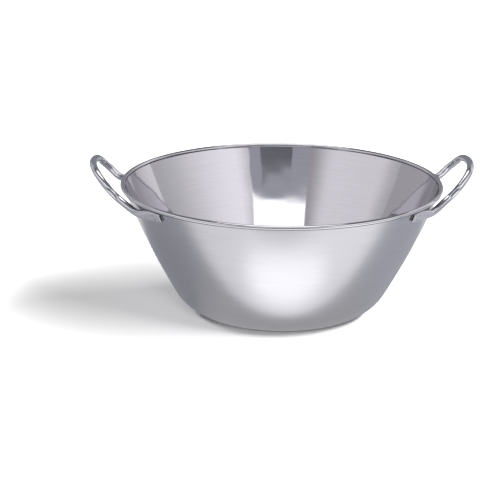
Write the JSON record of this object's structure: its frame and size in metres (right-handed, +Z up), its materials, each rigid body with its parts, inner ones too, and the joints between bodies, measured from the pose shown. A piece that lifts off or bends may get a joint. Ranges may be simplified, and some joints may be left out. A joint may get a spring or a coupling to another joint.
{
  "type": "mixing bowl",
  "caption": "Wide conical stainless-steel mixing bowl with a flat base, a wired rolled rim and two bent-rod loop handles spot-welded under the rim.",
  "frame": {"origin": "centre of the flat base, on the surface that the bowl rests on", "axes": "+Z up along the bowl's axis; +X through the middle of the right handle; the side away from +Y is the front"},
  "size_m": [0.4752, 0.4, 0.1931],
  "materials": {
    "satin_sheet": "satin, fine spun lines",
    "wire_steel": "drawn wire, unseen inside the bead",
    "polished_rod": "polished stainless rod with satin pads",
    "weld_steel": "spot-weld marks, slightly darkened"
  },
  "bodies": {
    "root": {"bowl_shell": "satin_sheet", "rim_wire": "wire_steel", "left_handle": "polished_rod", "right_handle": "polished_rod", "left_front_spot_welds": "weld_steel", "left_rear_spot_welds": "weld_steel", "right_front_spot_welds": "weld_steel", "right_rear_spot_welds": "weld_steel"}
  },
  "joints": []
}
